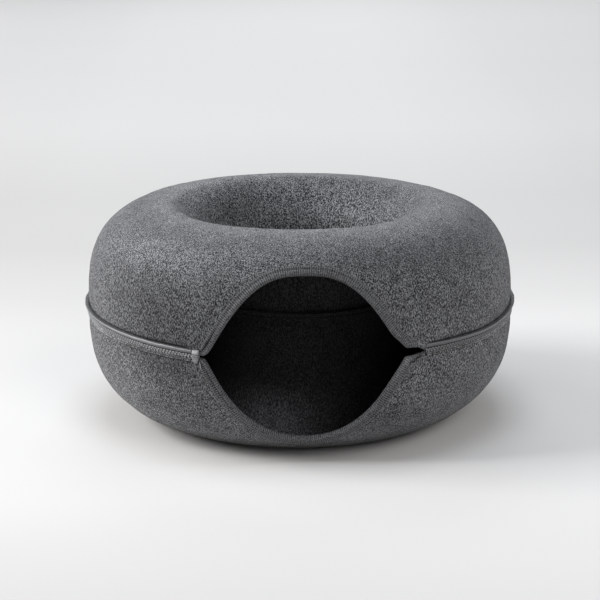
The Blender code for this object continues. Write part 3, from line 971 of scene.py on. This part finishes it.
# Loose ends of thread and frayed fibres at the two corners of the way in, as (turn,
# millimetres along and out, heading).
LOOSE_ENDS = np.array([
    (-26.95, -6.9, 2.0, 1.50), (-26.85, -9.9, 2.0, 1.35), (-26.70, -12.2, 1.9, 1.80),
    (28.50, 9.0, 1.7, 2.30), (28.85, 9.4, 1.3, 2.00), (29.20, 10.2, 0.7, 0.70),
    (29.45, 8.9, 0.8, 2.60), (29.80, 9.6, 0.7, -0.30), (30.05, 8.3, 0.8, 2.90),
    (30.35, 8.9, 0.7, -0.55), (30.60, 7.6, 0.8, -1.00), (30.90, 6.6, 0.8, -1.20),
    (31.15, 7.9, 0.7, -0.20), (31.40, 4.9, 0.8, -1.25), (31.65, 6.2, 0.8, -0.90),
])
turn, along, out, heading = LOOSE_ENDS.T
seats = seats_on_skin(turn, along / 1000, out / 1000, heading)
loose = repeat_shape("loose_thread_ends", stitch(0.0044, 0.00075), seats)
loose.data.materials.append(coil_plastic)
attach(loose, "root")


# ---- The tab at the zip's left end ----
# A short length of pale tape folded over the ends of both zip tapes and sewn down flat, so
# that the zip stops short of the way in.
TAB_TURNS = (-28.95, -27.15)
TAB_DROP = 0.0081


def end_tab():
    turns = np.linspace(*TAB_TURNS, 25)
    # The third column is how pale each row is, with painted shade in the grooves between the folds.
    along, out, pale = np.array([
        (7.2, 0.4, .4), (7.4, 2.2, .5), (7.0, 4.0, .75), (6.1, 4.8, .95), (5.0, 4.9, .95),
        (4.0, 4.7, .95), (3.3, 4.3, .85), (2.9, 3.7, .15), (2.5, 3.7, .15), (2.1, 4.3, .6),
        (1.5, 4.4, .65), (1.1, 4.2, .55), (0.8, 3.8, .15), (0.4, 3.8, .15), (0.0, 4.2, .5),
        (-0.7, 4.2, .6), (-1.2, 3.9, .3), (-1.7, 4.0, .35), (-2.4, 4.1, .6), (-3.6, 4.0, .58),
        (-5.0, 3.7, .55), (-6.4, 3.3, .5), (-7.4, 2.7, .45), (-8.1, 1.6, .35), (-8.0, 0.4, .3),
    ]).T
    along, out = along / 1000, out / 1000
    share = np.linspace(-1, 1, len(turns))[:, None]
    below = np.clip(-along / TAB_DROP, 0, 1)
    narrowing = 1 - 0.55 * below ** 1.6
    shoulder = 1 - 0.28 * np.abs(share) ** 5
    middle = (turns[0] + turns[-1]) / 2
    turn = middle - 0.06 * below + (turns[:, None] - middle) * narrowing
    height = np.where(out > 0.0005, out * shoulder, out)
    places = on_skin(turn, along + 0 * turn, height)
    under = on_skin(turn, along + 0 * turn, 0.0004)
    places = np.concatenate([places, under[:, -2:0:-1], places[:, :1]], axis=1)
    width = np.concatenate([[0.0], np.cumsum(np.hypot(np.diff(along), np.diff(out)))])
    width = np.concatenate([width, width[-2::-1]])
    pale = np.concatenate([pale, pale[-2::-1]])
    walked = np.radians(turns - turns[0])[:, None] * FELT_RADIUS
    spread = np.stack(np.broadcast_arrays(walked, width, pale), axis=-1)
    return lay_grid("zip_end_fold", places, spread)


tab = end_tab()
tab.data.materials.append(woven_finish(
    "pale end tape", (0.50, 0.505, 0.51), (0.23, 0.232, 0.236), 0.75, ribs_apart=0.0006
))
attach(tab, "root")
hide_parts("zip_end_tab")


# ---- The floor, the light and the camera ----
# A pale floor, painted with light and shade, that runs out of view, a large soft light from the
# left, and the photograph's own angle.
bpy.ops.mesh.primitive_circle_add(
    vertices=96, radius=16, fill_type="NGON", location=(0, 0, -0.0003)
)
floor = bpy.context.object
floor.name = "floor"
bpy.ops.object.transform_apply(location=True)
floor_paint, tree, shader = new_finish("pale floor", 0.9, Specular_IOR_Level=0.2)
# Light and shade are painted on the floor: it is paler round the bed and far behind it, and darker
# towards the camera
# and a little way behind the bed: (metres behind the middle of the floor, tone).
FLOOR_PAINTED_LIGHT = (
    (-0.60, 0.88), (-0.45, 0.95), (-0.32, 1.03), (-0.20, 1.07), (0.00, 1.08), (0.16, 1.04),
    (0.30, 0.98), (0.50, 0.88), (0.80, 0.79), (1.20, 0.80), (1.60, 0.865), (1.90, 0.92),
    (2.40, 0.965), (2.90, 1.03), (3.50, 1.15), (4.00, 1.29), (4.50, 1.42),
)
FLOOR_FRONT, FLOOR_BACK, PALEST = -0.7, 4.6, 1.5
PAPER_HUE = (1, 0.985, 0.966)
# Painted light: the floor is painted darker to the left and paler to the right.
PAINTED_LIGHT_LEFT, PAINTED_LIGHT_RIGHT = 0.58 * 0.93, 0.58 * 1.05
# Shade is also painted behind the bed to the right, and further back to the left: (how far to the
# right that starts and ends, how far behind it starts and ends, how much darker).
FLOOR_PAINTED_SHADE = (
    (0.27, 0.62, 0.05, 0.25, 0.055),
    (-0.38, -0.72, 0.60, 1.20, 0.050),
)
place = add_node(tree, "SeparateXYZ", {0: where_in_metres(tree)}).outputs
tone = add_node(tree, "ValToRGB", {"Fac": mapped(tree, place["Y"], FLOOR_FRONT, FLOOR_BACK)})
stops = tone.color_ramp.elements
while len(stops) > 1:
    stops.remove(stops[0])
for number, (metres, pale) in enumerate(FLOOR_PAINTED_LIGHT):
    share = (metres - FLOOR_FRONT) / (FLOOR_BACK - FLOOR_FRONT)
    stop = stops[0] if number == 0 else stops.new(share)
    stop.position = share
    stop.color = (*(pale / PALEST * part for part in PAPER_HUE), 1)
tint = tone.outputs[0]
for side_from, side_to, back_from, back_to, painted_shade in FLOOR_PAINTED_SHADE:
    by_side = mapped(tree, place["X"], side_from, side_to, 0.0, painted_shade)
    by_depth = mapped(tree, place["Y"], back_from, back_to, 0.0, -1.0)
    tint = scaled(tree, tint, plus(tree, by_side, by_depth, 1.0))
# Painted light: darker to the left, paler to the right.
painted_side_light = mapped(tree, place["X"], -0.5, 0.5, PAINTED_LIGHT_LEFT * PALEST, PAINTED_LIGHT_RIGHT * PALEST)
colour_and_bump(tree, shader, scaled(tree, tint, painted_side_light))
floor.data.materials.append(floor_paint)

scene = bpy.context.scene
scene.view_settings.view_transform = "Standard"
world = bpy.data.worlds.new("studio")
world.use_nodes = True
world.node_tree.nodes["Background"].inputs[0].default_value = (1, 1, 1, 1)
world.node_tree.nodes["Background"].inputs[1].default_value = 0.30
scene.world = world


WHITE = (1, 1, 1)
SKY_BLUE = (0.90, 0.97, 1.06)
LIGHT_SIZE = 2.4
LIGHT_DISTANCE = 5.0


def soft_light(name, azimuth, elevation, power, colour=WHITE):
    """A square light that faces the bed. Azimuth 0 is the camera's side, 90 the right."""
    turn, lift = math.radians(azimuth), math.radians(elevation)
    away = Vector((
        math.sin(turn) * math.cos(lift), -math.cos(turn) * math.cos(lift), math.sin(lift)
    ))
    light = bpy.data.lights.new(name, "AREA")
    light.energy, light.color, light.size = power, colour, LIGHT_SIZE
    lamp = bpy.data.objects.new(name, light)
    lamp.location = away * LIGHT_DISTANCE + Vector((0, 0, 0.1))
    lamp.rotation_euler = (-away).to_track_quat("-Z", "Y").to_euler()
    scene.collection.objects.link(lamp)


soft_light("window", -90, 30, 305)
soft_light("window, far side", -120, 30, 67)
soft_light("front fill", 30, 35, 59)
soft_light("right fill", 90, 30, 61)
soft_light("behind", 180, 40, 48, SKY_BLUE)
soft_light("overhead", 0, 90, 86, SKY_BLUE)

CAMERA_DISTANCE = 2.20694
CAMERA_HEIGHT = 0.71909
CAMERA_TURN = -1.35
FOCAL_PIXELS = 1910.8
IMAGE_PIXELS = 600
IMAGE_CENTRE_X = 299.88
SENSOR_WIDTH = 36
PITCH = 0.262
ROLL = -0.0072
turn = math.radians(CAMERA_TURN)
forward = Vector((
    -math.sin(turn) * math.cos(PITCH), math.cos(turn) * math.cos(PITCH), -math.sin(PITCH)
))
right = forward.cross(Vector((0, 0, 1))).normalized()
up = right.cross(forward)
right, up = (
    right * math.cos(ROLL) + up * math.sin(ROLL),
    up * math.cos(ROLL) - right * math.sin(ROLL),
)
camera = bpy.data.objects.new("camera", bpy.data.cameras.new("camera"))
camera.matrix_world = Matrix((right, up, -forward)).transposed().to_4x4()
camera.location = (
    CAMERA_DISTANCE * math.sin(turn), RING_AXIS_Y - CAMERA_DISTANCE * math.cos(turn), CAMERA_HEIGHT
)
camera.data.sensor_width = SENSOR_WIDTH
camera.data.lens = SENSOR_WIDTH * FOCAL_PIXELS / IMAGE_PIXELS
camera.data.shift_x = (IMAGE_PIXELS / 2 - IMAGE_CENTRE_X) / IMAGE_PIXELS
camera.data.clip_end = 60
scene.collection.objects.link(camera)
scene.camera = camera

bpy.context.view_layer.update()
